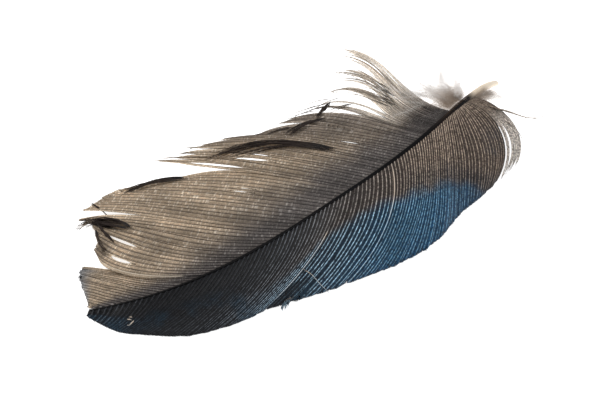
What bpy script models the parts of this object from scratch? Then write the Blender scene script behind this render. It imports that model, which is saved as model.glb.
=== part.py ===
"""Magpie feather: a small wing feather (greater covert), lying dorsal side up on a flat surface.

The shaft bows to the outer side and rises to a crest near the base of the vane. Places along it
are fractions u of the vane's length, from the feather's tip (u = 0, at -X) to the vane's base
(u = 1), and on down the calamus. Every lock of the vane is described by a few of its barbs: how
long a barb is, the angle at which it leaves the shaft, and how it turns on its way to its tip.
A lock's solid is the thin curved plate that its barbs span. All lengths are in millimetres until
MM is applied, and angles are in degrees.
"""
import bpy
import bmesh
import numpy as np

MM = 0.001

# The shaft seen from above: half its span from tip to calamus end, how far it bows to the outer
# side, and how full the bow is towards each end (2 is a parabola, more hooks the end)
HALF_SPAN = 26.6
SAG = 6.3
END_SIDEWAYS = 1.2
TIP_FULLNESS = 2.9
BASE_FULLNESS = 2.2

# The shaft seen from the side: its crest, its two ends, and how late it drops to the calamus end
CREST_X = 12.4
CREST_HEIGHT = 4.8
END_HEIGHT = 0.27
CALAMUS_DROP = 2.6

VANE_LENGTH = 48.0
CURVE_STEPS = 2000
BARB_STEPS = 8

# Fraction along the vane, then the shaft's radius there
SHAFT_RADIUS = (
    (0.00, 0.10),
    (0.30, 0.15),
    (0.60, 0.19),
    (0.85, 0.28),
    (1.00, 0.35),
    (1.10, 0.38),
    (1.19, 0.30),
)

SHAFT_RINGS = 60
SHAFT_SIDES = 12

VANE_THICKNESS = 0.30
DOWN_THICKNESS = 0.60
ROOT_CLEARANCE = 0.30

# The vane's two sides: which way it lies from the shaft, how early its barbs dip, and the part
# of the vane's length left clear where one lock splits from the next
OUTER = -1
INNER = 1
DIP = {OUTER: 0.35, INNER: 0.15}
SPLIT = {OUTER: 0.016, INNER: 0.009}

# Each rib is one barb: fraction along the vane, length, angle from the shaft's tip end at the
# root, even turn over its length, further turn gathered at its end, and height of its tip.
# A turn above 0 is away from the feather's tip.
OUTER_TIP_RIBS = (
    (0.03, 1.5, 66, -40, 0, 0.15),
    (0.20, 7.4, 45, -45, 0, 0.15),
    (0.38, 12.1, 41, -45, 0, 0.15),
    (0.56, 14.7, 40, -46, 0, 0.15),
)
OUTER_MIDDLE_RIBS = (
    (0.57, 14.3, 41, -47, 0, 0.15),
    (0.70, 14.4, 54, -61, 0, 0.15),
)
OUTER_BASE_RIBS = (
    (0.71, 14.2, 55, -61, 0, 0.15),
    (0.78, 13.9, 50, -36, -14, 0.15),
    (0.86, 12.5, 42, -8, -14, 0.15),
    (0.92, 10.4, 48, -12, -14, 0.15),
    (0.98, 9.9, 96, -85, -18, 0.15),
)
OUTER_LOOSE_RIBS = (
    (0.985, 9.9, 97, -84, -18, 0.4),
    (1.015, 9.7, 102, -80, -28, 0.6),
)
INNER_TIP_RIBS = (
    (0.03, 2.0, 30, 10, 0, 0.15),
    (0.12, 7.5, 30, 20, 0, 0.15),
    (0.22, 12.0, 17, 60, -28, 0.15),
)
INNER_RAGGED_RIBS = (
    (0.225, 11.8, 20, 30, 48, 0.8),
    (0.32, 16.0, 28, 62, -22, 1.0),
    (0.42, 20.8, 39, 45, -48, 0.7),
)
INNER_MAIN_RIBS = (
    (0.43, 21.0, 41, 40, -34, 0.9),
    (0.52, 21.0, 52, 10, -10, 1.3),
    (0.60, 18.3, 56, 15, -42, 1.9),
)
INNER_UPPER_RIBS = (
    (0.605, 20.7, 59, 0, 0, 2.2),
    (0.70, 19.8, 64, 0, -26, 2.8),
    (0.79, 16.0, 67, 10, -42, 3.2),
    (0.825, 13.7, 73, 20, -62, 3.7),
)
INNER_LOOSE_RIBS = (
    (0.83, 13.4, 70, 45, -85, 3.8),
    (0.86, 12.5, 70, 130, -190, 4.4),
    (0.89, 13.4, 72, 110, -140, 5.2),
    (0.925, 14.4, 70, 132, -158, 5.9),
)
BASE_DOWN_RIBS = (
    (0.93, 6.7, 100, 0, 0, 5.8),
    (0.985, 3.4, 118, 0, 0, 6.2),
)
AFTERFEATHER_RIBS = (
    (1.00, 3.4, 160, 0, 0, 2.4),
    (1.05, 3.0, 168, 0, 0, 1.7),
)

HORN_BLACK = (0.020, 0.017, 0.016)
HORN_ROUGHNESS = 0.35
BLUE_BLACK = (0.030, 0.060, 0.100)
BASE_BROWN = (0.095, 0.075, 0.062)
INNER_BROWN = (0.200, 0.165, 0.130)
DOWN_GREY = (0.300, 0.275, 0.260)
VANE_ROUGHNESS = 0.45
DOWN_ROUGHNESS = 0.90


def clear_scene():
    for item in list(bpy.data.objects):
        bpy.data.objects.remove(item, do_unlink=True)


def smooth(knots, values, at):
    """Value at `at` of the smooth curve through `values`, one for each knot."""
    knots = np.asarray(knots, float)
    values = np.asarray(values, float)
    slopes = np.gradient(values, knots, axis=0)
    i = int(np.clip(np.searchsorted(knots, at) - 1, 0, len(knots) - 2))
    span = knots[i + 1] - knots[i]
    t = (at - knots[i]) / span
    return ((1 + 2 * t) * (1 - t) ** 2 * values[i] + t * (1 - t) ** 2 * span * slopes[i]
            + t * t * (3 - 2 * t) * values[i + 1] + t * t * (t - 1) * span * slopes[i + 1])


def shaft_curve():
    """Points along the shaft's centre line, tip to calamus end, and how far along each lies."""
    x = np.linspace(-HALF_SPAN, HALF_SPAN, CURVE_STEPS)
    reach = np.abs(x) / HALF_SPAN
    y = END_SIDEWAYS - SAG * (1 - reach ** np.where(x < 0, TIP_FULLNESS, BASE_FULLNESS))
    rise = np.clip((x + HALF_SPAN) / (CREST_X + HALF_SPAN), 0.0, 1.0)
    fall = np.clip((x - CREST_X) / (HALF_SPAN - CREST_X), 0.0, 1.0)
    height = np.sin(rise * np.pi / 2) - fall ** CALAMUS_DROP
    z = END_HEIGHT + (CREST_HEIGHT - END_HEIGHT) * height
    points = np.stack([x, y, z], axis=1)
    steps = np.linalg.norm(np.diff(points, axis=0), axis=1)
    return points, np.concatenate([[0.0], np.cumsum(steps)]) / VANE_LENGTH


SHAFT_CURVE, SHAFT_PLACES = shaft_curve()
SHAFT_END = SHAFT_PLACES[-1]


def shaft_point(u):
    return np.array([np.interp(u, SHAFT_PLACES, SHAFT_CURVE[:, axis]) for axis in range(3)])


def shaft_radius(u):
    return float(smooth([row[0] for row in SHAFT_RADIUS], [row[1] for row in SHAFT_RADIUS], u))


def shaft_direction(u):
    step = 0.01
    ahead = shaft_point(min(u + step, SHAFT_END)) - shaft_point(max(u - step, 0.0))
    return ahead / np.linalg.norm(ahead)


def beside_shaft(u, side):
    """A barb's root: level with the shaft's centre, clear of its surface on one side."""
    forward = shaft_direction(u)
    sideways = np.array([-forward[1], forward[0], 0.0]) * side
    sideways /= np.linalg.norm(sideways)
    return shaft_point(u) + sideways * (shaft_radius(u) + ROOT_CLEARANCE)


def below_shaft(u):
    return shaft_point(u) - np.array([0.0, 0.0, shaft_radius(u) + ROOT_CLEARANCE + DOWN_THICKNESS])


def barb_path(ribs, side, root, u, stations):
    """Points, root to tip, of the barb that leaves the shaft at u."""
    row = smooth([rib[0] for rib in ribs], [rib[1:] for rib in ribs], u)
    length, leave, turn, end_turn, tip_height = row
    steps = (stations - 1) * BARB_STEPS
    middle = (np.arange(steps) + 0.5) / steps
    heading = np.radians(leave + turn * middle + end_turn * middle ** 3)
    level_length = np.sqrt(length ** 2 - (root[2] - tip_height) ** 2)
    tipward = -shaft_direction(u)[:2]
    tipward /= np.linalg.norm(tipward)
    outward = np.array([tipward[1], -tipward[0]]) * side
    moves = np.cos(heading)[:, None] * tipward + np.sin(heading)[:, None] * outward
    travelled = np.concatenate([np.zeros((1, 2)), np.cumsum(moves, axis=0)]) * level_length / steps
    plan = root[:2] + travelled[::BARB_STEPS]
    t = np.linspace(0.0, 1.0, stations)
    height = root[2] + (tip_height - root[2]) * (DIP[side] * t + (1 - DIP[side]) * t * t)
    return np.column_stack([plan, height])


def material(name, colour, roughness):
    made = bpy.data.materials.new(name)
    made.use_nodes = True
    shader = made.node_tree.nodes["Principled BSDF"]
    shader.inputs["Base Color"].default_value = (*colour, 1.0)
    shader.inputs["Roughness"].default_value = roughness
    shader.inputs["Metallic"].default_value = 0.0
    made.diffuse_color = (*colour, 1.0)
    return made


def add_object(name, mesh, finish, crease_angle):
    made = bpy.data.objects.new(name, mesh)
    bpy.context.scene.collection.objects.link(made)
    mesh.materials.append(finish)
    mesh.shade_smooth()
    mesh.set_sharp_from_angle(angle=crease_angle)
    return made


def closed_mesh(name, build):
    """A mesh filled by `build`, with its faces turned outward."""
    shape = bmesh.new()
    build(shape)
    if shape.calc_volume(signed=True) < 0.0:
        bmesh.ops.reverse_faces(shape, faces=shape.faces)
    mesh = bpy.data.meshes.new(name)
    shape.to_mesh(mesh)
    shape.free()
    return mesh


def bridge(shape, first, second):
    for i in range(len(first)):
        j = (i + 1) % len(first)
        shape.faces.new((first[i], first[j], second[j], second[i]))


def build_shaft(finish):
    """The rachis and the calamus, one tapering horn rod."""
    def build(shape):
        rings = []
        for u in np.linspace(0.0, SHAFT_END, SHAFT_RINGS):
            centre = shaft_point(u)
            forward = shaft_direction(u)
            level = np.cross(forward, (0.0, 0.0, 1.0))
            level /= np.linalg.norm(level)
            upward = np.cross(level, forward)
            ring = []
            for turn in np.linspace(0.0, 2 * np.pi, SHAFT_SIDES, endpoint=False):
                arm = level * np.cos(turn) + upward * np.sin(turn)
                ring.append(shape.verts.new((centre + arm * shaft_radius(u)) * MM))
            rings.append(ring)
        for first, second in zip(rings, rings[1:]):
            bridge(shape, first, second)
        shape.faces.new(rings[0][::-1])
        shape.faces.new(rings[-1])
    return add_object("shaft", closed_mesh("shaft", build), finish, np.radians(50))


def plate_rim(layer):
    """The outline of a grid of points, once round."""
    tips = [row[-1] for row in layer[1:-1]]
    roots = [row[0] for row in layer[-2:0:-1]]
    return layer[0] + tips + layer[-1][::-1] + roots


def build_plate(name, ribs, side, root_at, thickness, finish, rows, columns):
    """The closed thin plate that a lock's barbs span, from their roots to their tips."""
    start = ribs[0][0] + SPLIT[side] / 2
    end = ribs[-1][0] - SPLIT[side] / 2

    def build(shape):
        top, bottom = [], []
        for u in np.linspace(start, end, rows):
            middle = barb_path(ribs, side, root_at(u), u, columns)
            half = np.array([0.0, 0.0, thickness / 2])
            top.append([shape.verts.new((point + half) * MM) for point in middle])
            bottom.append([shape.verts.new((point - half) * MM) for point in middle])
        for first, second in zip(top, top[1:]):
            for a, b, c, d in zip(first, first[1:], second[1:], second):
                shape.faces.new((a, b, c, d))
        for first, second in zip(bottom, bottom[1:]):
            for a, b, c, d in zip(first, first[1:], second[1:], second):
                shape.faces.new((d, c, b, a))
        bridge(shape, plate_rim(bottom), plate_rim(top))
    return add_object(name, closed_mesh(name, build), finish, np.radians(40))


def vane_lock(name, ribs, side, finish, rows, columns, thickness=VANE_THICKNESS):
    return build_plate(name, ribs, side, lambda u: beside_shaft(u, side), thickness, finish,
                       rows, columns)


def main():
    clear_scene()
    horn = material("black_horn", HORN_BLACK, HORN_ROUGHNESS)
    glossy = material("blue_black_vane", BLUE_BLACK, VANE_ROUGHNESS)
    basal = material("brown_vane_base", BASE_BROWN, VANE_ROUGHNESS)
    dull = material("brown_inner_vane", INNER_BROWN, VANE_ROUGHNESS)
    down = material("grey_down", DOWN_GREY, DOWN_ROUGHNESS)

    build_shaft(horn)
    vane_lock("outer_tip_lock", OUTER_TIP_RIBS, OUTER, glossy, rows=26, columns=10)
    vane_lock("outer_middle_lock", OUTER_MIDDLE_RIBS, OUTER, glossy, rows=9, columns=12)
    vane_lock("outer_base_lock", OUTER_BASE_RIBS, OUTER, glossy, rows=20, columns=12)
    vane_lock("outer_loose_barbs", OUTER_LOOSE_RIBS, OUTER, basal, rows=4, columns=12)
    vane_lock("inner_tip_lock", INNER_TIP_RIBS, INNER, dull, rows=12, columns=10)
    vane_lock("inner_ragged_lock", INNER_RAGGED_RIBS, INNER, dull, rows=12, columns=14)
    vane_lock("inner_main_lock", INNER_MAIN_RIBS, INNER, dull, rows=12, columns=14)
    vane_lock("inner_upper_lock", INNER_UPPER_RIBS, INNER, dull, rows=12, columns=14)
    vane_lock("inner_loose_lock", INNER_LOOSE_RIBS, INNER, dull, rows=12, columns=14)
    vane_lock("base_down", BASE_DOWN_RIBS, INNER, down, rows=6, columns=8, thickness=DOWN_THICKNESS)
    build_plate("afterfeather", AFTERFEATHER_RIBS, OUTER, below_shaft, DOWN_THICKNESS, down,
                rows=5, columns=8)


main()
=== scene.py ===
"""Looks of the magpie feather: every barb of the vane, the down and the horn shaft.

A barb is a thin tube, the ramus, with a web of barbules along both sides, whose outer part is cut
into slanted teeth. A lock of the vane is the row of barbs between two splits. Lengths here are in
millimetres, and MM turns them into the frame's metres when a mesh is made.
"""

import bpy
import numpy as np
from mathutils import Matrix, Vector


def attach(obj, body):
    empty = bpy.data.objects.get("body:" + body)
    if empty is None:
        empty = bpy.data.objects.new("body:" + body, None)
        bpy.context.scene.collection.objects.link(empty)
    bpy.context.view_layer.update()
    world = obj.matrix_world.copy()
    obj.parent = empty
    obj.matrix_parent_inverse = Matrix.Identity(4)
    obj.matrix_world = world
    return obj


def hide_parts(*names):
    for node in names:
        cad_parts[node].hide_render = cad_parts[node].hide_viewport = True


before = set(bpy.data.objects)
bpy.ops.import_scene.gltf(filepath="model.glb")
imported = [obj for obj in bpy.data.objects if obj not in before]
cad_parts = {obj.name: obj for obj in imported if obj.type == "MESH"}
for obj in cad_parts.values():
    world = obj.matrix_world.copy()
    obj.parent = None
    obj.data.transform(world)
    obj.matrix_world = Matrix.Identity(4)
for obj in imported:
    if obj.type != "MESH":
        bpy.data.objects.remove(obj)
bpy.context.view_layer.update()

MM = 0.001

# The photograph's view: what the picture's middle looks at, how far off, and the lens
LOOK_AT = (-0.8, -0.2, 0.0)
CAMERA_DISTANCE = 270.0
CAMERA_ELEVATION = 42.0
CAMERA_AZIMUTH = -40.0
LENS = 158.8
SENSOR_WIDTH = 36.0

# The table and the two soft lights: place, size, power and colour
TABLE_HALF_WIDTH = 2000.0
KEY_LIGHT = ((-120.0, 160.0, 260.0), 160.0, 0.9, (1.0, 0.98, 0.96))
FILL_LIGHT = ((60.0, -260.0, 160.0), 200.0, 0.4, (0.94, 0.97, 1.0))

# The shaft's driving dimensions, as in the CAD: from above, then from the side
HALF_SPAN = 26.6
SAG = 6.3
END_SIDEWAYS = 1.2
TIP_FULLNESS = 2.9
BASE_FULLNESS = 2.2
CREST_X = 12.4
CREST_HEIGHT = 4.8
END_HEIGHT = 0.27
CALAMUS_DROP = 2.6
VANE_LENGTH = 48.0
CURVE_STEPS = 2000

# Fraction along the vane, then the shaft's radius there
SHAFT_RADIUS = (
    (0.00, 0.10),
    (0.30, 0.15),
    (0.60, 0.19),
    (0.85, 0.28),
    (1.00, 0.35),
    (1.10, 0.38),
    (1.19, 0.30),
)

# The shaft is squarish along the vane, with a groove below, and turns round at the vane's end
SHAFT_RINGS = 240
SHAFT_SIDES = 28
SQUARENESS = 0.09
GROOVE_DEPTH = 0.27
GROOVE_HALF_ANGLE = 0.35
SHAFT_FLATNESS = 0.92
ROUND_BETWEEN = (0.95, 1.05)
END_ROUNDING = 0.012

# The two sides of the vane: which way each lies from the shaft, and how early its barbs dip
OUTER = -1
INNER = 1
DIP = {OUTER: 0.35, INNER: 0.15}

# Fraction along the vane, then the distance from one barb's root to the next
BARB_PITCH = {
    OUTER: ((0.00, 0.60), (0.55, 0.57), (0.68, 0.50), (0.78, 0.36), (0.90, 0.30), (0.96, 0.20)),
    INNER: ((0.00, 0.60), (0.45, 0.56), (0.60, 0.50), (0.75, 0.42), (1.00, 0.38)),
}
STATIONS_PER_MM = 9.0

# A ramus is deeper than wide, starts thin where the look says so, and thins towards its tip
RAMUS_SIDES = 5
RAMUS_DEPTH = 1.3
RAMUS_START = 0.4
RAMUS_THINNING = 0.7

# Across a barb, from -1 to 1: half the ramus, and where the web begins
RAMUS_EDGE = 0.25
WEB_START = 0.3

# A barb runs as in the CAD, whose plates stand clear of the shaft, and goes on straight back from
# there to its root inside the shaft, whose depth is in the shaft's radii
ROOT_CLEARANCE = 0.30
ROOT_DEPTH = 0.3
ROOT_STEPS = 4
LEAST_ROOT_SINE = 0.35

# How far along the vane a split still pushes barbs aside, where the web towards the next lock
# ends along the barb, the least reach of a web, and how near barbs count as touching
SPLIT_REACH = 0.009
HEM_FADE = (0.30, 0.50)
LEAST_REACH = 0.01
TOUCHING = 0.02

# Chance differences between the barbs of a lock: the root's place, as a share of the pitch, the
# shape (length as a share, then three angles), and the tone with its limit
ROOT_SCATTER = 0.10
SHAPE_SCATTER = (0.04, 2.0, 5.0, 8.0)
TONE_SCATTER = 0.09
TONE_LIMIT = 0.2

# The same between the strands of one row: where on the vane and on the barb they start, their
# start in space, and their shape
STRAND_PLACE_SCATTER = 0.004
STRAND_STATION_SCATTER = 0.05
STRAND_START_SCATTER = (0.10, 0.10, 0.03)
STRAND_SHAPE_SCATTER = (0.06, 3.0, 6.0, 6.0)

# The slow waves along and across a lock, and the station where they have their full size
WAVES = 6
WAVE_RATES = (3.0, 14.0)
WAVE_SKEW = 90.0
WAVES_FULL_BY = 0.3

# On the map, the part of its column that a barb fills, and the margin at its ends
MAP_FILL = 0.46
MAP_MARGIN = 0.01

# Each rib is one barb, as in the CAD: fraction along the vane, length, angle from the shaft's tip
# end at the root, even turn over its length, further turn gathered at its end, and height of its
# tip. A turn above 0 is away from the feather's tip.
OUTER_TIP_RIBS = (
    (0.03, 1.5, 66, -40, 0, 0.15),
    (0.20, 7.4, 45, -45, 0, 0.15),
    (0.38, 12.1, 41, -45, 0, 0.15),
    (0.56, 14.7, 40, -46, 0, 0.15),
)
OUTER_MIDDLE_RIBS = (
    (0.57, 14.3, 41, -47, 0, 0.15),
    (0.70, 14.4, 54, -61, 0, 0.15),
)
OUTER_BASE_RIBS = (
    (0.71, 14.2, 55, -61, 0, 0.15),
    (0.78, 13.9, 50, -36, -14, 0.15),
    (0.86, 12.5, 42, -8, -14, 0.15),
    (0.92, 10.4, 48, -12, -14, 0.15),
    (0.98, 9.9, 96, -85, -18, 0.15),
)
OUTER_LOOSE_RIBS = (
    (0.985, 9.9, 97, -84, -18, 0.4),
    (1.015, 9.7, 102, -80, -28, 0.6),
)
INNER_TIP_RIBS = (
    (0.03, 2.0, 30, 10, 0, 0.15),
    (0.12, 7.5, 30, 20, 0, 0.15),
    (0.22, 12.0, 17, 60, -28, 0.15),
)
INNER_RAGGED_RIBS = (
    (0.225, 11.8, 20, 30, 48, 0.8),
    (0.32, 16.0, 28, 62, -22, 1.0),
    (0.42, 20.8, 39, 45, -48, 0.7),
)
INNER_MAIN_RIBS = (
    (0.43, 21.0, 41, 40, -34, 0.9),
    (0.52, 21.0, 52, 10, -10, 1.3),
    (0.60, 18.3, 56, 15, -42, 1.9),
)
INNER_UPPER_RIBS = (
    (0.605, 20.7, 59, 0, 0, 2.2),
    (0.70, 19.8, 64, 0, -26, 2.8),
    (0.79, 16.0, 67, 10, -42, 3.2),
    (0.825, 13.7, 73, 20, -62, 3.7),
)
INNER_LOOSE_RIBS = (
    (0.83, 13.4, 70, 45, -85, 3.8),
    (0.86, 12.5, 70, 130, -190, 4.4),
    (0.89, 13.4, 72, 110, -140, 5.2),
    (0.925, 14.4, 70, 132, -158, 5.9),
)
BASE_DOWN_RIBS = (
    (0.93, 6.7, 100, 0, 0, 5.8),
    (0.985, 3.4, 118, 0, 0, 6.2),
)
AFTERFEATHER_RIBS = (
    (1.00, 3.4, 160, 0, 0, 2.4),
    (1.05, 3.0, 168, 0, 0, 1.7),
)

# A split between two barbs: fraction along the vane, the stations where it starts and ends (at 1
# it is open to the tips), its width, and the share of the barbules beside it that is missing
LOOSE_BARB_SPLITS = ((0.993, 0.40, 0.98, 0.25, 0.85),)
RAGGED_SPLITS = (
    (0.250, 0.58, 0.82, 0.10, 0.75),
    (0.310, 0.60, 0.90, 0.10, 0.75),
    (0.340, 0.84, 1.0, 0.30, 0.75),
)
MAIN_SPLITS = (
    (0.543, 0.36, 0.48, 0.0, 0.50),
    (0.553, 0.38, 0.47, 0.0, 0.45),
)
UPPER_SPLITS = (
    (0.613, 0.50, 0.84, 0.25, 0.75),
    (0.643, 0.45, 0.66, 0.15, 0.75),
    (0.662, 0.50, 0.62, 0.0, 0.7),
    (0.75, 0.22, 0.36, 0.0, 0.65),
)
FAN_SPLITS = ((0.842, 0.20, 1.0, 0.80, 0.8),)

# A stain across some barbs: fraction along the vane, reach to both sides, the stations where it
# starts and ends, and the tone, dark below 0 and bleached above it
OUTER_TIP_STAINS = (
    (0.56, 0.006, 0.27, 0.85, 1.1),
    (0.56, 0.006, 0.85, 1.1, 0.5),
)
OUTER_MIDDLE_STAINS = ((0.58, 0.03, 0.75, 1.1, -0.8),)
OUTER_BASE_STAINS = (
    (0.71, 0.005, 0.02, 0.45, 1.1),
    (0.71, 0.005, 0.45, 1.1, 0.6),
)
RAGGED_STAINS = (
    (0.225, 0.006, 0.1, 1.1, 0.7),
    (0.37, 0.03, 0.84, 1.1, -1.2),
    (0.26, 0.03, 0.84, 1.1, -0.5),
)
MAIN_STAINS = ((0.575, 0.008, 0.80, 1.1, -0.7),)
STAIN_BLUR = 0.04

# Tufts: the places along the vane whose barb draws its neighbours' ends to it, from a station on
LOOSE_BARB_TUFTS = (0.987, 0.998, 1.007, 1.014)
UPPER_TUFTS = (0.607, 0.635, 0.67, 0.705, 0.74, 0.78, 0.815)
FAN_TUFTS = (0.836, 0.852, 0.864, 0.880, 0.903, 0.918)
TUFT_PULLS = (0.6, 1.1)
TUFT_FROM = 0.25

# Loose strands: how many, their spread, where they start (fraction along the vane, and station on
# the barb there), length, angle, even turn, turn gathered at the end, height of the end, tone,
# and how far above the vane they start
TIP_STRANDS = (
    (1, 0.0, 0.55, 0.58, 3.9, 108, 8, 0, 0.5, 0.9, 0.25),
    (2, 1.0, 0.10, 0.55, 0.8, 150, 60, 0, 0.5, 2.0, 0.15),
    (1, 1.0, 0.13, 0.60, 0.9, 60, -90, 0, 0.5, 2.0, 0.15),
)
MIDDLE_STRANDS = ((9, 1.0, 0.60, 0.93, 1.5, 10, 30, 0, 0.3, -0.3, 0.1),)
LOOSE_BARB_STRANDS = (
    (3, 0.3, 1.000, 0.12, 6.8, 102, -25, 95, 3.0, 0.5, 0.0),
    (1, 0.3, 1.012, 0.26, 3.2, 108, -12, 0, 2.9, 0.5, 0.0),
    (1, 0.3, 1.005, 0.42, 2.8, 90, -14, 0, 1.5, 0.5, 0.0),
    (2, 0.6, 1.012, 0.60, 1.8, 60, -30, 0, 1.0, 0.5, 0.0),
)
RAGGED_STRANDS = (
    (16, 0.6, 0.360, 0.72, 6.2, 82, -55, -30, 0.5, -1.0, 0.25),
    (14, 0.7, 0.350, 0.74, 4.4, 56, 5, 0, 1.0, -1.0, 0.25),
    (9, 0.35, 0.330, 0.955, 3.4, -84, -10, 0, 1.7, -1.0, 0.35),
    (7, 0.5, 0.300, 0.970, 3.6, -70, -20, 0, 1.4, -0.4, 0.25),
    (5, 0.6, 0.390, 0.90, 2.6, 20, -15, 0, 0.5, 0.1, 0.2),
)
MAIN_STRANDS = (
    (16, 0.6, 0.574, 0.82, 5.8, 38, -18, -8, 1.9, -0.8, 0.18),
    (3, 0.2, 0.455, 0.99, 3.3, -102, 16, 0, 1.2, -0.9, 0.25),
)
UPPER_STRANDS = (
    (28, 0.9, 0.710, 0.27, 11.6, 70, -46, 0, 3.2, -0.9, 0.25),
    (6, 0.9, 0.700, 0.60, 6.0, 44, -26, 0, 2.9, -0.6, 0.15),
    (3, 0.6, 0.785, 0.75, 3.2, 35, -10, 0, 3.2, -0.5, 0.05),
    (22, 0.6, 0.805, 0.64, 3.9, 40, -42, 0, 4.1, -0.8, 0.25),
)
FAN_STRANDS = (
    (4, 0.4, 0.835, 0.62, 2.4, 52, -30, 0, 4.1, -0.7, 0.2),
    (14, 0.45, 0.832, 0.79, 1.9, -15, 12, 0, 4.2, -0.8, 0.25),
    (6, 1.2, 0.835, 0.78, 4.2, 38, -14, 0, 3.5, -0.3, 0.0),
    (8, 1.6, 0.865, 0.35, 7.3, 88, 0, -75, 4.6, 0.0, 0.0),
    (7, 1.6, 0.890, 0.40, 7.6, 95, 0, -70, 5.2, 0.0, 0.0),
)

# Looks of barbs. The ramus has its full radius from station "opens" on. Barbules reach as far as
# "barbule", of which the share "web" is closed, and the rest is teeth that lean by "slant". They
# shorten between the first two numbers of "loosens" to its third, and again past "taper". A web
# covers the share "overlap" of the gap to the next barb, and hangs by one of the two drops.
OUTER_LOOK = {"web": 0.75, "overlap": 0.95, "barbule": 0.80, "loosens": (1.0, 2.0, 0.80),
              "slant": 0.5, "taper": 0.96, "opens": 0.0, "ramus": 0.042,
              "drop_over": -0.012, "drop_under": -0.045}
INNER_LOOK = dict(OUTER_LOOK, ramus=0.034, taper=0.94)
UPPER_LOOK = dict(INNER_LOOK, loosens=(0.62, 0.95, 0.34), taper=0.84, slant=0.8)
LOOSE_BARB_LOOK = dict(OUTER_LOOK, web=0.50, barbule=0.50, loosens=(0.25, 0.55, 0.18), slant=0.8,
                       taper=0.75, ramus=0.030)
FAN_LOOK = dict(LOOSE_BARB_LOOK, loosens=(0.15, 0.55, 0.20), slant=1.0, taper=0.70)
STRAND_LOOK = dict(LOOSE_BARB_LOOK, web=0.40, barbule=0.09, loosens=(0.3, 1.0, 0.03), slant=1.0,
                   taper=0.70, opens=0.15, ramus=0.028)

# Loose strands: how far they waver, how much faster the waves change from one to the next than in
# a lock, and the station where a strand has its full tone
STRAND_WAVINESS = 0.06
STRAND_SKEW = 40
STRAND_TONE_BY = 0.3

# Down has no web: each barbule is a needle, which leaves its barb at an angle of its own
DOWN_LOOK = {"barbule": 1.6, "ramus": 0.012, "needle": 0.010}
NEEDLE_TILT = 0.5
NEEDLE_LEANS = (0.4, 1.4)
NEEDLE_LENGTHS = (0.4, 1.0)
NEEDLE_SHORTENING = 0.6


def smooth(knots, values, at):
    """Values at each `at` of the smooth curve through `values`, one row for each knot."""
    knots = np.asarray(knots, float)
    values = np.asarray(values, float)
    at = np.asarray(at, float)
    slopes = np.gradient(values, knots, axis=0)
    i = np.clip(np.searchsorted(knots, at) - 1, 0, len(knots) - 2)
    span = knots[i + 1] - knots[i]
    t = (at - knots[i]) / span
    if values.ndim > 1:
        span = span[:, None]
        t = t[:, None]
    return ((1 + 2 * t) * (1 - t) ** 2 * values[i] + t * (1 - t) ** 2 * span * slopes[i]
            + t * t * (3 - 2 * t) * values[i + 1] + t * t * (t - 1) * span * slopes[i + 1])


def ease(values, low, high):
    """0 below `low`, 1 above `high`, smooth between them."""
    t = np.clip((np.asarray(values, float) - low) / (high - low), 0.0, 1.0)
    return t * t * (3 - 2 * t)


def unit(vectors):
    return vectors / np.maximum(np.linalg.norm(vectors, axis=-1, keepdims=True), 1e-9)


def shaft_curve():
    """Points along the shaft's centre line, tip to calamus end, and how far along each lies."""
    x = np.linspace(-HALF_SPAN, HALF_SPAN, CURVE_STEPS)
    reach = np.abs(x) / HALF_SPAN
    y = END_SIDEWAYS - SAG * (1 - reach ** np.where(x < 0, TIP_FULLNESS, BASE_FULLNESS))
    rise = np.clip((x + HALF_SPAN) / (CREST_X + HALF_SPAN), 0.0, 1.0)
    fall = np.clip((x - CREST_X) / (HALF_SPAN - CREST_X), 0.0, 1.0)
    height = np.sin(rise * np.pi / 2) - fall ** CALAMUS_DROP
    z = END_HEIGHT + (CREST_HEIGHT - END_HEIGHT) * height
    points = np.stack([x, y, z], axis=1)
    steps = np.linalg.norm(np.diff(points, axis=0), axis=1)
    return points, np.concatenate([[0.0], np.cumsum(steps)]) / VANE_LENGTH


SHAFT_CURVE, SHAFT_PLACES = shaft_curve()
SHAFT_END = SHAFT_PLACES[-1]


def shaft_points(u):
    return np.stack([np.interp(u, SHAFT_PLACES, SHAFT_CURVE[:, axis]) for axis in range(3)], axis=-1)


def shaft_radii(u):
    places, radii = zip(*SHAFT_RADIUS)
    return smooth(places, radii, u)


def shaft_directions(u):
    step = 0.01
    return unit(shaft_points(np.minimum(u + step, SHAFT_END)) - shaft_points(np.maximum(u - step, 0.0)))


def sideways_at(u, side):
    """Level unit vectors square to the shaft, towards one side of the vane."""
    forward = shaft_directions(u)
    return unit(np.stack([-forward[:, 1], forward[:, 0], np.zeros(len(u))], axis=1)) * side


def beside_shaft(u, side):
    return shaft_points(u) + sideways_at(u, side) * (shaft_radii(u) + ROOT_CLEARANCE)[:, None]


def spread_roots(start, end, side, density):
    """Root fractions u of a lock's barbs, spaced by the side's barb pitch."""
    fine = np.linspace(start, end, 200)
    places, pitches = zip(*BARB_PITCH[side])
    rate = VANE_LENGTH * density / np.interp(fine, places, pitches)
    count = np.concatenate([[0.0], np.cumsum((rate[1:] + rate[:-1]) / 2 * np.diff(fine))])
    return np.interp(np.linspace(0.0, count[-1], int(round(count[-1])) + 1), count, fine)


def rib_shapes(ribs, u):
    return smooth([rib[0] for rib in ribs], [rib[1:] for rib in ribs], u)


def stations(lengths):
    """Stations t from 0 to 1, close enough together for the longest barb."""
    return np.linspace(0.0, 1.0, int(lengths.max() * STATIONS_PER_MM) + 2)


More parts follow.
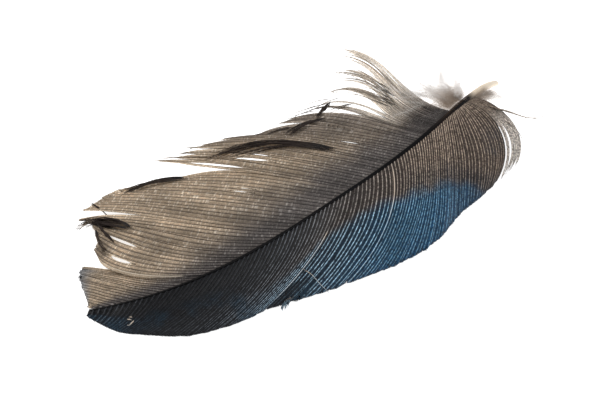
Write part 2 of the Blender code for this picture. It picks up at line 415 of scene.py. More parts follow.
def barb_paths(root, u, side, shape, t):
    """Centre lines (n, k, 3) of barbs that start at `root`, beside the shaft's places u.

    Each row of shape holds what a rib does after its place: length, leaving angle, the two turns
    and the height of the tip. The stations t run evenly from 0 to 1.
    """
    length, leave, turn, end_turn, tip_height = np.asarray(shape, float).T
    steps = len(t) - 1
    middle = (t[1:] + t[:-1]) / 2
    heading = np.radians(leave[:, None] + turn[:, None] * middle + end_turn[:, None] * middle ** 3)
    tipward = -unit(shaft_directions(u)[:, :2])
    outward = np.stack([tipward[:, 1], -tipward[:, 0]], axis=1) * side
    moves = (np.cos(heading)[..., None] * tipward[:, None]
             + np.sin(heading)[..., None] * outward[:, None])
    level = np.sqrt(np.maximum(length ** 2 - (root[:, 2] - tip_height) ** 2, 0.01))
    travelled = np.concatenate([np.zeros((len(u), 1, 2)), np.cumsum(moves, axis=1)], axis=1)
    plan = root[:, None, :2] + travelled * (level / steps)[:, None, None]
    fall = DIP[side] * t + (1 - DIP[side]) * t ** 2
    height = root[:, 2:] + (tip_height - root[:, 2])[:, None] * fall
    return np.concatenate([plan, height[..., None]], axis=-1)


def rooted(paths, u, side, t):
    """Barbs lengthened straight back into the shaft, and their stations."""
    back = unit(paths[:, 0] - paths[:, 1])
    sine = np.maximum(-(back * sideways_at(u, side)).sum(-1), LEAST_ROOT_SINE)
    depth = (shaft_radii(u) * (1 + ROOT_DEPTH) + ROOT_CLEARANCE) / sine
    share = np.linspace(1.0, 0.0, ROOT_STEPS, endpoint=False)
    added = paths[:, :1] + back[:, None] * (depth[:, None] * share[None, :])[..., None]
    return np.concatenate([added, paths], axis=1), np.concatenate([np.zeros(ROOT_STEPS), t])


def level_across(paths):
    """Level unit vectors across each barb, towards the next one."""
    tangent = unit(np.gradient(paths, axis=1))
    flat = unit(np.stack([-tangent[..., 1], tangent[..., 0], np.zeros(tangent.shape[:2])], axis=-1))
    return flat if (np.diff(paths, axis=0) * flat[:-1]).sum() >= 0.0 else -flat


def gather(paths, u, t, tufts, strength, rng):
    """Draws the barbs' ends unevenly towards the nearest tuft's middle barb, into points."""
    middles = np.array([np.argmin(np.abs(u - place)) for place in tufts])
    nearest = middles[np.argmin(np.abs(u[:, None] - u[middles][None, :]), axis=1)]
    pull = strength * rng.uniform(*TUFT_PULLS, len(u))[:, None] * ease(t, TUFT_FROM, 1.0)[None, :]
    return paths + (paths[nearest] - paths) * pull[..., None]


def ripple(paths, u, t, size, rng):
    """Slow waves that spread and close the barbs a little, as on a handled feather."""
    wave = np.zeros(paths.shape[:2])
    for _ in range(WAVES):
        phase = rng.uniform(0, 2 * np.pi)
        rate = rng.uniform(*WAVE_RATES)
        skew = rng.uniform(-WAVE_SKEW, WAVE_SKEW)
        wave += np.sin(phase + rate * t[None, :] + skew * u[:, None])
    size = size * 2 / WAVES * ease(t, 0.0, WAVES_FULL_BY)
    return paths + level_across(paths) * (wave * size)[..., None]


def opening_of(split, t):
    """How open a split is along the barbs: a slit between two stations, or open to the tips."""
    start, end = split[1:3]
    if end < 1.0:
        middle = (start + end) / 2
        half = (end - start) / 2
        return 1 - np.clip(np.abs(t - middle) / half, 0.0, 1.0) ** 3
    return ease(t, start, end)


def open_split(paths, u, t, split):
    """Pushes the barbs on the two sides of a split apart."""
    place = split[0]
    width = split[3]
    side = np.where(u < place, -1.0, 1.0)
    push = side * np.exp(-np.abs(u - place) / SPLIT_REACH) * width / 2
    return paths + level_across(paths) * (push[:, None] * opening_of(split, t)[None, :])[..., None]


def shorten_webs(reach, u, t, splits, hand):
    """Takes a share of the barbules that would close a split off the barbs on its two sides."""
    for split in splits:
        barb = np.searchsorted(u, split[0]) - (hand > 0)
        reach[barb] *= 1 - split[4] * opening_of(split, t)


def stain(tone, u, t, stains):
    """Darkens or bleaches the barbs about a place u, between two stations."""
    for place, width, start, end, value in stains:
        near = np.exp(-((u - place) / width) ** 2)
        within = (ease(t, start - STAIN_BLUR, start + STAIN_BLUR)
                  * (1 - ease(t, end - STAIN_BLUR, end + STAIN_BLUR)))
        tone = tone + value * near[:, None] * within[None, :]
    return tone


class Row:
    """Barbs side by side: centre lines (n, k, 3), places u along the vane, stations t and tones.

    A tone is above 0 where the barb is bleached and below 0 where it is dark.
    """

    def __init__(self, paths, u, t, tone):
        self.paths = paths
        self.u = u
        self.t = t
        self.tone = tone
        self.tangent = unit(np.gradient(paths, axis=1))
        self.level = level_across(paths)

    def upright(self, direction):
        """Unit vectors square to the barbs and to `direction`, pointing up."""
        normal = unit(np.cross(direction, self.tangent))
        return normal * np.sign(normal[..., 2:])

    def marks(self, s):
        """Marks (u, t, s) of the stations, at a place s across the barbs, from -1 to 1."""
        marks = np.empty(self.paths.shape)
        marks[..., 0] = self.u[:, None]
        marks[..., 1] = self.t[None, :]
        marks[..., 2] = s
        return marks

    def maps(self, s):
        """Map coordinates: each barb has a column of its own, and s and t run across and up it."""
        count = len(self.paths)
        x = (np.arange(count)[:, None] + 0.5 + MAP_FILL * s) / count
        y = MAP_MARGIN + (1 - 2 * MAP_MARGIN) * self.t[None, :]
        return np.stack(np.broadcast_arrays(x, y), axis=-1)


class Fabric:
    """Collects the points and faces of barbs, with their marks, tones and maps, for one mesh."""

    def __init__(self):
        self.points = []
        self.marks = []
        self.tones = []
        self.faces = []
        self.maps = []
        self.size = 0

    def add(self, points, marks, tones):
        """Adds points given as (n, ..., 3) arrays and returns their numbers."""
        shape = points.shape[:-1]
        count = int(np.prod(shape))
        self.points.append(points.reshape(-1, 3))
        self.marks.append(np.broadcast_to(marks, points.shape).reshape(-1, 3))
        self.tones.append(np.broadcast_to(tones, shape).reshape(-1))
        numbers = np.arange(self.size, self.size + count).reshape(shape)
        self.size += count
        return numbers

    def face(self, corners, maps):
        """Adds faces: corner numbers (..., sides) and their map coordinates (..., sides, 2)."""
        sides = corners.shape[-1]
        self.faces.append(corners.reshape(-1, sides))
        self.maps.append(np.broadcast_to(maps, corners.shape + (2,)).reshape(-1, 2))

    def strip(self, first, second):
        """Adds the quads between two rows of points, each given as (numbers, maps)."""
        corners, maps = (np.stack([a[:, :-1], a[:, 1:], b[:, 1:], b[:, :-1]], axis=2)
                         for a, b in zip(first, second))
        self.face(corners, maps)

    def make(self, name, finish):
        points = np.concatenate(self.points) * MM
        sides = np.concatenate([np.full(len(f), f.shape[1]) for f in self.faces])
        corners = np.concatenate([f.reshape(-1) for f in self.faces])
        mesh = bpy.data.meshes.new(name)
        mesh.vertices.add(len(points))
        mesh.vertices.foreach_set("co", points.reshape(-1))
        mesh.loops.add(len(corners))
        mesh.loops.foreach_set("vertex_index", corners)
        mesh.polygons.add(len(sides))
        mesh.polygons.foreach_set("loop_start", np.concatenate([[0], np.cumsum(sides)[:-1]]))
        mesh.polygons.foreach_set("use_smooth", np.ones(len(sides), bool))
        mark = mesh.attributes.new("barb", "FLOAT_VECTOR", "POINT")
        mark.data.foreach_set("vector", np.concatenate(self.marks).reshape(-1))
        tone = mesh.attributes.new("tone", "FLOAT", "POINT")
        tone.data.foreach_set("value", np.concatenate(self.tones))
        layer = mesh.uv_layers.new(name="OFBake")
        layer.uv.foreach_set("vector", np.concatenate(self.maps).reshape(-1))
        mesh.update(calc_edges=True)
        mesh.validate()
        mesh.materials.append(finish)
        piece = bpy.data.objects.new(name, mesh)
        bpy.context.scene.collection.objects.link(piece)
        return piece


def grow_rami(fabric, row, radii):
    """The closed tubes of the rami."""
    upward = row.upright(row.level)
    rings = []
    for turn in np.linspace(0.0, 2 * np.pi, RAMUS_SIDES, endpoint=False):
        arm = row.level * np.sin(turn) + upward * np.cos(turn) * RAMUS_DEPTH
        points = row.paths + arm * radii[None, :, None]
        rings.append(fabric.add(points, row.marks(RAMUS_EDGE * np.sin(turn)), row.tone))
    edges = [row.maps(RAMUS_EDGE * (2 * i / RAMUS_SIDES - 1)) for i in range(RAMUS_SIDES + 1)]
    for i in range(RAMUS_SIDES):
        j = (i + 1) % RAMUS_SIDES
        fabric.strip((rings[i], edges[i]), (rings[j], edges[i + 1]))
    for end in (0, -1):
        cap = np.stack([ring[:, end] for ring in rings], axis=-1)
        spot = row.maps(0.0)[:, [end]]
        fabric.face(cap, np.repeat(spot, RAMUS_SIDES, axis=1))


def grow_web(fabric, row, direction, reach, look, hand):
    """One side of the barbs' barbules: a web next to the ramus, and slanted teeth beyond it.

    `hand` is 1 on the side of the next barb and -1 on the other.
    """
    web = look["web"]
    drop = row.upright(direction) * (look["drop_over"] if hand < 0 else look["drop_under"])
    web_edge = hand * (WEB_START + (1 - WEB_START) * web)
    root_map = row.maps(WEB_START * hand)
    edge_map = row.maps(web_edge)
    root = fabric.add(row.paths, row.marks(WEB_START * hand), row.tone)
    edge_points = row.paths + direction * (reach * web)[..., None] + drop * web
    edge = fabric.add(edge_points, row.marks(web_edge), row.tone)
    sides = ((root, root_map), (edge, edge_map))
    fabric.strip(*sides[::hand])

    lean = row.tangent * (reach * look["slant"])[..., None]
    tip_points = row.paths + direction * reach[..., None] + drop + lean
    tips = fabric.add(tip_points[:, :-1], row.marks(hand)[:, :-1], row.tone[:, :-1])
    tooth = np.stack([edge[:, :-1], edge[:, 1:], tips], axis=-1)
    tooth_map = np.stack([edge_map[:, :-1], edge_map[:, 1:], row.maps(hand)[:, :-1]], axis=-2)
    fabric.face(tooth[..., ::-hand], tooth_map[..., ::-hand, :])


def towards(row, others, guess):
    """From each barb to the one beside it: unit vectors, distances, and how far past its end.

    Past the neighbour's end the last value runs from 0 to 1 at the barb's own tip. `guess` says
    which way to look where the two barbs touch.
    """
    step = np.empty_like(row.paths)
    past = np.zeros(row.paths.shape[:2])
    last = row.paths.shape[1] - 1
    for i, (path, other) in enumerate(zip(row.paths, others)):
        nearest = np.linalg.norm(path[:, None] - other[None], axis=-1).argmin(axis=1)
        step[i] = other[nearest] - path
        ending = np.argmax(nearest == last) if nearest[-1] == last else last
        past[i] = np.clip((np.arange(last + 1) - ending) / max(last - ending, 1), 0.0, 1.0)
    step -= row.tangent * (step * row.tangent).sum(-1, keepdims=True)
    gap = np.linalg.norm(step, axis=-1)
    return unit(step + guess * TOUCHING), gap, past


def barbule_reach(look, t):
    """How far barbules reach along a barb: less far where the barb is loose."""
    start, end, loose = look["loosens"]
    reach = look["barbule"] + (loose - look["barbule"]) * ease(t, start, end)
    return reach * (1 - ease(t, look["taper"], 1.0) ** 2)


def grow_barbs(fabric, row, look, sides):
    """Rami with a web along each side. Sides are (hand, direction, reach) of the two webs."""
    opening = ease(row.t, -0.01, look["opens"])
    fullness = RAMUS_START + (1 - RAMUS_START) * opening
    grow_rami(fabric, row, look["ramus"] * (1 - RAMUS_THINNING * row.t) * fullness)
    limit = (barbule_reach(look, row.t) * opening)[None, :]
    for hand, direction, reach in sides:
        grow_web(fabric, row, direction, np.minimum(reach, limit) + LEAST_REACH, look, hand)


def grow_closed_row(fabric, row, look, splits, hem):
    """A row of barbs whose webs reach over to their neighbours, as far as barbules go.

    The last barb's web reaches on towards the next lock by the hem, over its first part.
    """
    paths = row.paths
    ringed = np.concatenate([2 * paths[:1] - paths[1:2], paths, 2 * paths[-1:] - paths[-2:-1]])
    sides = []
    for hand, others in ((1, ringed[2:]), (-1, ringed[:-2])):
        direction, gap, past = towards(row, others, row.level * hand)
        reach = gap * look["overlap"] * (1 - past)
        shorten_webs(reach, row.u, row.t, splits, hand)
        if hand > 0:
            reach[-1] = np.maximum(reach[-1], hem * (1 - ease(row.t, *HEM_FADE)))
        sides.append((hand, direction, reach))
    grow_barbs(fabric, row, look, sides)


def grow_needles(fabric, row, look, per_station, rng):
    """Downy barbs: thin rami with long free barbules, each a needle of its own."""
    shape = row.paths.shape[:2] + (1,)
    upward = row.upright(row.level)
    grow_rami(fabric, row, look["ramus"] * (1 - RAMUS_THINNING * row.t))
    half = row.tangent * look["needle"] / 2
    shortening = (1 - NEEDLE_SHORTENING * row.t)[None, :, None]
    for hand in (-1, 1):
        root_map = row.maps(WEB_START * hand)
        tip_map = row.maps(hand)
        for _ in range(per_station):
            away = unit(row.level * hand + upward * rng.normal(0.0, NEEDLE_TILT, shape)
                        + row.tangent * rng.uniform(*NEEDLE_LEANS, shape))
            reach = look["barbule"] * rng.uniform(*NEEDLE_LENGTHS, shape) * shortening
            corners = [fabric.add(row.paths - half, row.marks(WEB_START * hand), row.tone),
                       fabric.add(row.paths + half, row.marks(WEB_START * hand), row.tone),
                       fabric.add(row.paths + away * reach, row.marks(hand), row.tone)]
            fabric.face(np.stack(corners, axis=-1), np.stack([root_map, root_map, tip_map], axis=-2))


def place_strands(strands, ribs, side, rng):
    """Starts, places along the vane, shapes and tones of loose strands, one for each."""
    starts = []
    places = []
    shapes = []
    tones = []
    fine = np.linspace(0.0, 1.0, 41)
    for count, spread, u, t, length, angle, turn, end_turn, height, tone, lift in strands:
        for _ in range(count):
            at = np.array([u + rng.normal(0.0, STRAND_PLACE_SCATTER) * spread])
            barb = barb_paths(beside_shaft(at, side), at, side, rib_shapes(ribs, at), fine)[0]
            station = t + rng.uniform(0.0, STRAND_STATION_SCATTER) * spread
            start = np.array([np.interp(station, fine, barb[:, axis]) for axis in range(3)])
            start += rng.normal(0.0, 1.0, 3) * STRAND_START_SCATTER * spread
            start[2] += lift
            change = rng.normal(0.0, spread, 4) * STRAND_SHAPE_SCATTER
            shapes.append((length * (1 + change[0]), angle + change[1], turn + change[2],
                           end_turn + change[3], height))
            starts.append(start)
            places.append(at[0])
            tones.append(tone)
    return np.array(starts), np.array(places), np.array(shapes), np.array(tones)


def grow_strands(fabric, strands, ribs, side, rng):
    """Loose strands, each a barb of its own with narrow barbules, whose tone grows from its start."""
    start, u, shape, tone = place_strands(strands, ribs, side, rng)
    t = stations(shape[:, 0])
    paths = ripple(barb_paths(start, u, side, shape, t), u * STRAND_SKEW, t, STRAND_WAVINESS, rng)
    row = Row(paths, u, t, tone[:, None] * ease(t, 0.0, STRAND_TONE_BY)[None, :])
    reach = np.full(paths.shape[:2], STRAND_LOOK["barbule"])
    grow_barbs(fabric, row, STRAND_LOOK, ((1, row.level, reach), (-1, -row.level, reach)))


def vane_lock(name, node, finish, side, ribs, look, seed, start=None, density=1.0,
              shape_noise=0.0, tufts=(), gathering=0.0, waviness=0.05, splits=(), lift=None,
              stains=(), hem=0.0, needles=0, strands=()):
    """One lock of the vane, as a piece that stands for its CAD node.

    It starts at its first rib, or before it where the barbs are too small for the CAD. With
    `needles`, each station grows that many free barbules to each side in place of a web.
    """
    rng = np.random.default_rng(seed)
    u = spread_roots(start or ribs[0][0], ribs[-1][0], side, density)
    u[1:-1] += rng.uniform(-ROOT_SCATTER, ROOT_SCATTER, len(u) - 2) * (u[1] - u[0])
    shape = rib_shapes(ribs, u)
    change = rng.normal(0.0, shape_noise, (len(u), 4)) * SHAPE_SCATTER
    shape[:, 0] *= 1 + change[:, 0]
    shape[:, 1:4] += change[:, 1:]
    t = stations(shape[:, 0])
    paths = barb_paths(beside_shaft(u, side), u, side, shape, t)
    paths, t = rooted(paths, u, side, t)
    if tufts:
        paths = gather(paths, u, t, tufts, gathering, rng)
    paths = ripple(paths, u, t, waviness, rng)
    for split in splits:
        paths = open_split(paths, u, t, split)
    if lift:
        paths[..., 2] += lift(u[:, None], t[None, :])
    tone = np.clip(rng.normal(0.0, TONE_SCATTER, len(u)), -TONE_LIMIT, TONE_LIMIT)
    row = Row(paths, u, t, stain(np.repeat(tone[:, None], len(t), axis=1), u, t, stains))
    fabric = Fabric()
    if needles:
        grow_needles(fabric, row, look, needles, rng)
    else:
        grow_closed_row(fabric, row, look, splits, hem)
    if strands:
        grow_strands(fabric, strands, ribs, side, rng)
    finish_piece(fabric.make(name, finish), node)


def finish_piece(piece, node):
    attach(piece, "root")
    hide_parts(node)


def srgb(red, green, blue):
    """A colour as seen on screen, 0 to 255, as linear light."""
    values = np.array([red, green, blue]) / 255
    linear = np.where(values <= 0.04045, values / 12.92, ((values + 0.055) / 1.055) ** 2.4)
    return (*linear, 1.0)


class Recipe:
    """Builds one node material: each method adds a node and returns its output."""

    def __init__(self, name, roughness, gloss):
        self.material = bpy.data.materials.new(name)
        self.material.use_nodes = True
        self.nodes = self.material.node_tree.nodes
        self.links = self.material.node_tree.links
        self.shader = self.nodes["Principled BSDF"]
        self.output = self.nodes["Material Output"]
        self.shader.inputs["Roughness"].default_value = roughness
        self.shader.inputs["Specular IOR Level"].default_value = gloss

    def feed(self, socket, value):
        if isinstance(value, bpy.types.NodeSocket):
            self.links.new(value, socket)
        else:
            socket.default_value = value

    def maths(self, operation, *values):
        node = self.nodes.new("ShaderNodeMath")
        node.operation = operation
        for socket, value in zip(node.inputs, values):
            self.feed(socket, value)
        return node.outputs[0]

    def plus(self, first, second):
        return self.maths("ADD", first, second)

    def minus(self, first, second):
        return self.maths("SUBTRACT", first, second)

    def times(self, first, second):
        return self.maths("MULTIPLY", first, second)

    def blend(self, amount, first, second):
        """From the first colour to the second: sockets 6, 7 and 2 are the mixer's colours."""
        node = self.nodes.new("ShaderNodeMix")
        node.data_type = "RGBA"
        self.feed(node.inputs["Factor"], amount)
        self.feed(node.inputs[6], first)
        self.feed(node.inputs[7], second)
        return node.outputs[2]

    def scale(self, colour, factor):
        node = self.nodes.new("ShaderNodeVectorMath")
        node.operation = "SCALE"
        self.feed(node.inputs[0], colour)
        self.feed(node.inputs["Scale"], factor)
        return node.outputs[0]

    def step(self, value, low, high):
        """From 0 at `low` to 1 at `high`, which may be the lower of the two."""
        node = self.nodes.new("ShaderNodeMapRange")
        node.interpolation_type = "SMOOTHSTEP"
        self.feed(node.inputs["Value"], value)
        self.feed(node.inputs["From Min"], low)
        self.feed(node.inputs["From Max"], high)
        return node.outputs["Result"]

    def curve(self, value, points):
        """The value read off a smooth curve through `points`, whose x and y run from 0 to 1."""
        node = self.nodes.new("ShaderNodeFloatCurve")
        line = node.mapping.curves[0]
        for _ in range(len(points) - 2):
            line.points.new(0.5, 0.5)
        for point, (x, y) in zip(line.points, points):
            point.location = (x, y)
        node.mapping.update()
        self.feed(node.inputs["Value"], value)
        return node.outputs[0]

    def attribute(self, name):
        node = self.nodes.new("ShaderNodeAttribute")
        node.attribute_name = name
        return node

    def mark(self):
        """The outputs u, t and s of the barb mark."""
        parts = self.nodes.new("ShaderNodeSeparateXYZ")
        self.links.new(self.attribute("barb").outputs["Vector"], parts.inputs[0])
        return parts.outputs[0], parts.outputs[1], parts.outputs[2]

    def place(self):
        """The point on the object, in metres."""
        node = self.nodes.new("ShaderNodeTexCoord")
        return node.outputs["Object"]

    def noise(self, vector, scale, detail):
        node = self.nodes.new("ShaderNodeTexNoise")
        self.feed(node.inputs["Vector"], vector)
        node.inputs["Scale"].default_value = scale
        node.inputs["Detail"].default_value = detail
        return node.outputs["Fac"]

    def barb_noise(self, u, t, u_rate, t_rate, detail):
        """Noise stretched along the barbs."""
        node = self.nodes.new("ShaderNodeCombineXYZ")
        self.feed(node.inputs[0], self.times(u, u_rate))
        self.feed(node.inputs[1], self.times(t, t_rate))
        return self.noise(node.outputs[0], 1.0, detail)

    def bump(self, height, distance, strength):
        node = self.nodes.new("ShaderNodeBump")
        node.inputs["Distance"].default_value = distance
        node.inputs["Strength"].default_value = strength
        self.feed(node.inputs["Height"], height)
        self.feed(self.shader.inputs["Normal"], node.outputs[0])

    def colour(self, value):
        self.feed(self.shader.inputs["Base Color"], value)

    def let_light_through(self, share, colour):
        """Mixes in light that passes through the thin web from behind."""
        through = self.nodes.new("ShaderNodeBsdfTranslucent")
        self.feed(through.inputs["Color"], colour)
        mixer = self.nodes.new("ShaderNodeMixShader")
        self.feed(mixer.inputs[0], share)
        self.links.new(self.shader.outputs[0], mixer.inputs[1])
        self.links.new(through.outputs[0], mixer.inputs[2])
        self.links.new(mixer.outputs[0], self.output.inputs["Surface"])


def glints(recipe, colour, amount):
    """Shades single barbules lighter and darker, as they catch the light or not."""
    speck = recipe.noise(recipe.place(), 5200.0, 1.0)
    swing = recipe.times(recipe.minus(recipe.step(speck, 0.3, 0.7), 0.5), amount)
    return recipe.scale(colour, recipe.plus(swing, 1.0))


def barbule_relief(recipe, t, s):
    """Fine slanted ridges of single barbules, across the web."""
    slant = recipe.times(recipe.maths("ABSOLUTE", s), 40.0)
    phase = recipe.plus(recipe.times(t, 1800.0), slant)
    recipe.bump(recipe.maths("SINE", phase), 0.00002, 0.5)


def with_tone(recipe, colour, ramus, pale, dark):
    """Small tones shade a barb. Higher ones bleach its ramus, and past 1 its web too.

    Tones from -0.25 down turn the barb towards the dark colour.
    """
    tone = recipe.attribute("tone").outputs["Fac"]
    shade = recipe.maths("MINIMUM", recipe.maths("MAXIMUM", tone, -0.25), 0.2)
    colour = recipe.scale(colour, recipe.plus(shade, 1.0))
    bleached = recipe.maths("MAXIMUM", ramus, recipe.step(tone, 1.0, 1.4))
    amount = recipe.times(recipe.step(tone, 0.25, 0.9), bleached)
    return recipe.blend(recipe.step(tone, -0.25, -1.0), recipe.blend(amount, colour, pale), dark)


def outer_vane_finish():
    """Blue-black structural colour, brown towards the base, and painted highlights on the rami in its
    middle.
    """
    recipe = Recipe("outer_vane", roughness=0.42, gloss=0.18)
    u, t, s = recipe.mark()
    ramus = recipe.step(recipe.maths("ABSOLUTE", s), 0.46, 0.26)
    blotch = recipe.noise(recipe.place(), 260.0, 3.0)
    highlight_noise = recipe.barb_noise(u, t, 90.0, 22.0, 2.0)

    # By place along the vane: where on the barb the blue begins, how strong it is, how brown the
    # rest is, and how strong the painted highlight on the rami is
    start = recipe.curve(u, ((0.0, 0.35), (0.3, 0.60), (0.5, 0.46), (0.61, 0.22), (0.735, 0.28),
                             (0.83, 0.42), (0.92, 0.70), (0.97, 0.95), (1.0, 1.0)))
    strength = recipe.curve(u, ((0.0, 0.55), (0.15, 0.30), (0.3, 0.04), (0.42, 0.06), (0.5, 0.30),
                                (0.58, 0.85), (0.7, 1.0), (0.85, 1.0), (0.95, 0.6), (1.0, 0.0)))
    brown = recipe.curve(u, ((0.0, 0.0), (0.45, 0.02), (0.58, 0.3), (0.7, 0.55), (0.82, 0.9),
                             (1.0, 0.95)))
    shine = recipe.curve(u, ((0.0, 0.30), (0.12, 0.18), (0.2, 0.10), (0.35, 0.25), (0.5, 0.9),
                             (0.72, 1.0), (0.85, 0.85), (0.95, 0.7), (1.0, 0.45)))
    since = recipe.plus(recipe.minus(t, start), recipe.times(recipe.minus(blotch, 0.5), 0.25))
    blue = recipe.times(recipe.step(since, -0.02, 0.16), strength)
    sea = recipe.step(u, 0.62, 0.80)

    # The brown darkens just before it turns blue
    dusk = recipe.times(recipe.step(since, -0.20, -0.02), recipe.step(u, 0.66, 0.82))
    web = recipe.blend(brown, srgb(15, 15, 17), srgb(68, 58, 52))
    web = recipe.blend(recipe.times(dusk, 0.75), web, srgb(26, 27, 32))
    web = recipe.blend(blue, web, recipe.blend(sea, srgb(20, 36, 50), srgb(22, 54, 80)))
    # The painted highlight along the rami: grey where the vane is black, beige where it is brown, and
    # pale blue where it is blue
    line = recipe.blend(brown, srgb(118, 122, 128), srgb(196, 176, 156))
    line = recipe.blend(recipe.times(dusk, 0.3), line, srgb(90, 94, 104))
    line = recipe.blend(blue, line, recipe.blend(sea, srgb(170, 204, 224), srgb(136, 182, 208)))
    # Painted highlight: the rami take it where the noise along the barbs is high, fading towards their
    # tips
    lit = recipe.times(recipe.times(ramus, shine),
                       recipe.times(recipe.step(t, 1.04, 0.90), recipe.step(highlight_noise, 0.22, 0.55)))
    colour = recipe.blend(lit, web, line)
    bloom = recipe.times(recipe.step(blotch, 0.48, 0.66), recipe.step(t, 0.25, 0.7))
    colour = recipe.blend(recipe.times(bloom, 0.30), colour, srgb(20, 54, 72))

    # The loose barbs at the base are pale past their roots
    loose = recipe.times(recipe.step(u, 0.981, 0.986), recipe.step(t, 0.15, 0.5))
    loose_colour = recipe.blend(ramus, srgb(214, 205, 195), srgb(146, 134, 124))
    colour = glints(recipe, recipe.blend(loose, colour, loose_colour), 1.0)
    bleached = recipe.blend(blue, srgb(222, 206, 188), srgb(206, 222, 232))
    recipe.colour(with_tone(recipe, colour, ramus, bleached, srgb(14, 13, 14)))
    barbule_relief(recipe, t, s)
    return recipe.material


def inner_vane_finish():
    """Dull brown vane: the thin webs let light through, and the rami stay dark."""
    recipe = Recipe("inner_vane", roughness=0.55, gloss=0.16)
    u, t, s = recipe.mark()
    ramus = recipe.step(recipe.maths("ABSOLUTE", s), 0.46, 0.28)
    blotch = recipe.noise(recipe.place(), 220.0, 3.0)
    highlight_noise = recipe.barb_noise(u, t, 400.0, 110.0, 2.0)

    # Greyer and darker along the shaft and towards the base
    near = recipe.step(recipe.plus(t, recipe.times(blotch, 0.3)), 0.60, 0.20)
    grey = recipe.maths("MAXIMUM", near, recipe.times(recipe.step(u, 0.60, 0.88), 0.8))
    web = recipe.blend(grey, srgb(184, 166, 144), srgb(110, 104, 101))
    # Painted highlights: the web turns to this brighter colour in specks along the barbs
    bright = recipe.blend(grey, srgb(236, 224, 206), srgb(164, 158, 154))
    web = recipe.blend(recipe.step(highlight_noise, 0.52, 0.72), web, bright)
    line = recipe.blend(grey, srgb(54, 42, 34), srgb(40, 37, 37))

    # The loose barbs towards the base are paler and more see-through past their closed part
    loose = recipe.times(recipe.step(u, 0.826, 0.84), recipe.step(t, 0.12, 0.45))
    web = recipe.blend(loose, web, srgb(232, 221, 207))
    line = recipe.blend(loose, line, srgb(156, 140, 124))

    # The square end at the tip is bluish
    chill = recipe.times(recipe.step(u, 0.225, 0.205), recipe.step(t, 0.75, 1.0))
    web = recipe.blend(recipe.times(chill, 0.7), web, srgb(120, 134, 148))

    # Lighter and darker streaks of painted light and shade run along the barbs
    streak = recipe.barb_noise(u, t, 34.0, 5.0, 3.0)
    painted_shading = recipe.plus(recipe.times(recipe.step(streak, 0.36, 0.64), 0.36), 0.80)
    colour = glints(recipe, recipe.scale(recipe.blend(ramus, web, line), painted_shading), 0.4)
    colour = with_tone(recipe, colour, ramus, srgb(236, 222, 200), srgb(54, 45, 41))
    recipe.colour(colour)
    barbule_relief(recipe, t, s)
    recipe.let_light_through(recipe.times(recipe.minus(1.0, ramus), 0.50), colour)
    return recipe.material


def down_finish():
    recipe = Recipe("down", roughness=0.8, gloss=0.10)
    _, t, _ = recipe.mark()
    colour = recipe.blend(recipe.step(t, 0.05, 0.6), srgb(182, 168, 154), srgb(232, 229, 226))
    recipe.colour(colour)
    recipe.let_light_through(0.6, colour)
    return recipe.material


def horn_finish():
    """Black horn with brown streaks near the base, and a pale calamus."""
    recipe = Recipe("horn", roughness=0.40, gloss=0.10)
    u, turn, _ = recipe.mark()
    streak = recipe.barb_noise(u, turn, 8.0, 24.0, 3.0)
    brown = recipe.times(recipe.step(u, 0.80, 1.0), recipe.step(streak, 0.45, 0.75))
    colour = recipe.blend(brown, srgb(6, 5, 6), srgb(84, 64, 48))
    colour = recipe.blend(recipe.step(u, 0.99, 1.03), colour, srgb(222, 206, 184))
    recipe.colour(colour)
    recipe.bump(streak, 0.00002, 0.3)
    return recipe.material


def build_shaft(finish):
    """Rachis and calamus: squarish along the vane, with a groove below, and round past it."""
    u = np.linspace(0.0, SHAFT_END, SHAFT_RINGS)
    turns = np.linspace(0.0, 2 * np.pi, SHAFT_SIDES, endpoint=False)[None, :]
    forward = shaft_directions(u)
    level = unit(np.cross(forward, (0.0, 0.0, 1.0)))
    upward = np.cross(level, forward)

    along_vane = (1 - ease(u, *ROUND_BETWEEN))[:, None]
    from_below = np.mod(turns - np.pi / 2, 2 * np.pi) - np.pi
    corners = 1 - along_vane * SQUARENESS * np.cos(2 * turns) ** 2
    groove = 1 - along_vane * GROOVE_DEPTH * np.exp(-(from_below / GROOVE_HALF_ANGLE) ** 2)
    closing = np.sqrt(np.clip((SHAFT_END - u) / END_ROUNDING, 0.02, 1.0))
    radius = (shaft_radii(u) * closing)[:, None] * corners
    x = (np.cos(turns) * radius)[..., None]
    y = (np.sin(turns) * radius * groove * SHAFT_FLATNESS)[..., None]
    points = shaft_points(u)[:, None] + level[:, None] * x + upward[:, None] * y

    marks = np.zeros(points.shape)
    marks[..., 0] = u[:, None]
    marks[..., 1] = turns / (2 * np.pi)
    fabric = Fabric()
    numbers = fabric.add(points, marks, 0.0)
    edges = [np.stack([np.full(len(u), i / SHAFT_SIDES), u / SHAFT_END], axis=-1)[None]
             for i in range(SHAFT_SIDES + 1)]
    for i in range(SHAFT_SIDES):
        j = (i + 1) % SHAFT_SIDES
        fabric.strip((numbers[None, :, i], edges[i]), (numbers[None, :, j], edges[i + 1]))
    for cap in (numbers[:1], numbers[-1:, ::-1]):
        fabric.face(cap, np.full(cap.shape + (2,), 0.5))
    finish_piece(fabric.make("horn_shaft", finish), "shaft")


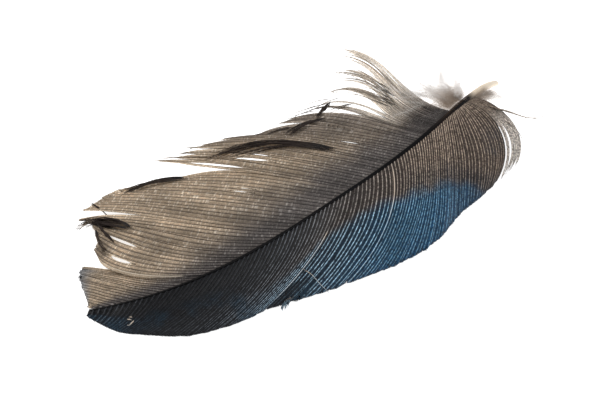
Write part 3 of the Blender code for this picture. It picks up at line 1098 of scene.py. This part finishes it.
def build_outer_vane(finish):
    vane_lock("outer_tip", "outer_tip_lock", finish, OUTER, OUTER_TIP_RIBS,
              OUTER_LOOK, seed=1, start=0.004, shape_noise=0.05, waviness=0.02,
              lift=lambda u, t: 0.15 * ease(u, 0.50, 0.56) * ease(t, 0.2, 0.6),
              stains=OUTER_TIP_STAINS, strands=TIP_STRANDS)
    vane_lock("outer_middle", "outer_middle_lock", finish, OUTER, OUTER_MIDDLE_RIBS,
              OUTER_LOOK, seed=2, shape_noise=0.1, waviness=0.03, stains=OUTER_MIDDLE_STAINS,
              strands=MIDDLE_STRANDS)
    vane_lock("outer_base", "outer_base_lock", finish, OUTER, OUTER_BASE_RIBS,
              OUTER_LOOK, seed=3, shape_noise=0.06, waviness=0.03, stains=OUTER_BASE_STAINS,
              hem=0.6)
    vane_lock("outer_loose", "outer_loose_barbs", finish, OUTER, OUTER_LOOSE_RIBS,
              LOOSE_BARB_LOOK, seed=4, density=1.6, shape_noise=0.2, tufts=LOOSE_BARB_TUFTS,
              gathering=0.45, splits=LOOSE_BARB_SPLITS, strands=LOOSE_BARB_STRANDS)


def build_inner_vane(finish):
    vane_lock("inner_tip", "inner_tip_lock", finish, INNER, INNER_TIP_RIBS,
              INNER_LOOK, seed=5, start=0.008, shape_noise=0.3)
    vane_lock("inner_ragged", "inner_ragged_lock", finish, INNER, INNER_RAGGED_RIBS,
              INNER_LOOK, seed=6, shape_noise=0.2, splits=RAGGED_SPLITS, stains=RAGGED_STAINS,
              strands=RAGGED_STRANDS)
    vane_lock("inner_main", "inner_main_lock", finish, INNER, INNER_MAIN_RIBS,
              INNER_LOOK, seed=7, shape_noise=0.05, splits=MAIN_SPLITS, stains=MAIN_STAINS,
              strands=MAIN_STRANDS)
    vane_lock("inner_upper", "inner_upper_lock", finish, INNER, INNER_UPPER_RIBS,
              UPPER_LOOK, seed=8, shape_noise=0.4, tufts=UPPER_TUFTS, gathering=0.5,
              splits=UPPER_SPLITS, strands=UPPER_STRANDS)
    vane_lock("inner_loose", "inner_loose_lock", finish, INNER, INNER_LOOSE_RIBS,
              FAN_LOOK, seed=9, density=2.2, shape_noise=0.8, tufts=FAN_TUFTS, gathering=0.75,
              splits=FAN_SPLITS, strands=FAN_STRANDS)


def build_down(finish):
    vane_lock("down", "base_down", finish, INNER, BASE_DOWN_RIBS, DOWN_LOOK, seed=10,
              density=4.5, shape_noise=9.0, waviness=0.25, needles=4)
    vane_lock("aftershaft", "afterfeather", finish, OUTER, AFTERFEATHER_RIBS, DOWN_LOOK,
              seed=11, density=2.5, shape_noise=4.0, waviness=0.25, needles=3)


def build_camera():
    data = bpy.data.cameras.new("camera")
    data.lens = LENS
    data.sensor_width = SENSOR_WIDTH
    data.clip_start = 0.01
    camera = bpy.data.objects.new("camera", data)
    azimuth = np.radians(CAMERA_AZIMUTH)
    elevation = np.radians(CAMERA_ELEVATION)
    forward = Vector((-np.sin(azimuth) * np.cos(elevation), np.cos(azimuth) * np.cos(elevation),
                      -np.sin(elevation)))
    camera.location = (Vector(LOOK_AT) - forward * CAMERA_DISTANCE) * MM
    camera.rotation_euler = forward.to_track_quat("-Z", "Y").to_euler()
    bpy.context.scene.collection.objects.link(camera)
    bpy.context.scene.camera = camera


def add_light(name, place, size, power, colour):
    """A soft square light that faces the feather."""
    data = bpy.data.lights.new(name, "AREA")
    data.size = size * MM
    data.energy = power
    data.color = colour
    light = bpy.data.objects.new(name, data)
    light.location = Vector(place) * MM
    light.rotation_euler = (-Vector(place)).to_track_quat("-Z", "Y").to_euler()
    bpy.context.scene.collection.objects.link(light)


def build_table():
    """A pale table that glows softly, as under a high-key studio's light."""
    recipe = Recipe("table", roughness=0.9, gloss=0.05)
    recipe.colour(srgb(245, 245, 245))
    recipe.shader.inputs["Emission Color"].default_value = (1.0, 1.0, 1.0, 1.0)
    recipe.shader.inputs["Emission Strength"].default_value = 0.75
    half = TABLE_HALF_WIDTH * MM
    corners = ((-half, -half, 0.0), (half, -half, 0.0), (half, half, 0.0), (-half, half, 0.0))
    mesh = bpy.data.meshes.new("table")
    mesh.from_pydata(corners, [], [(0, 1, 2, 3)])
    mesh.materials.append(recipe.material)
    table = bpy.data.objects.new("table", mesh)
    bpy.context.scene.collection.objects.link(table)


def build_studio():
    world = bpy.data.worlds.new("studio")
    world.use_nodes = True
    background = world.node_tree.nodes["Background"]
    background.inputs["Color"].default_value = (0.95, 0.97, 1.0, 1.0)
    background.inputs["Strength"].default_value = 0.45
    bpy.context.scene.world = world
    add_light("key", *KEY_LIGHT)
    add_light("fill", *FILL_LIGHT)
    bpy.context.scene.view_settings.view_transform = "Standard"


build_camera()
build_table()
build_studio()
build_shaft(horn_finish())
build_outer_vane(outer_vane_finish())
build_inner_vane(inner_vane_finish())
build_down(down_finish())
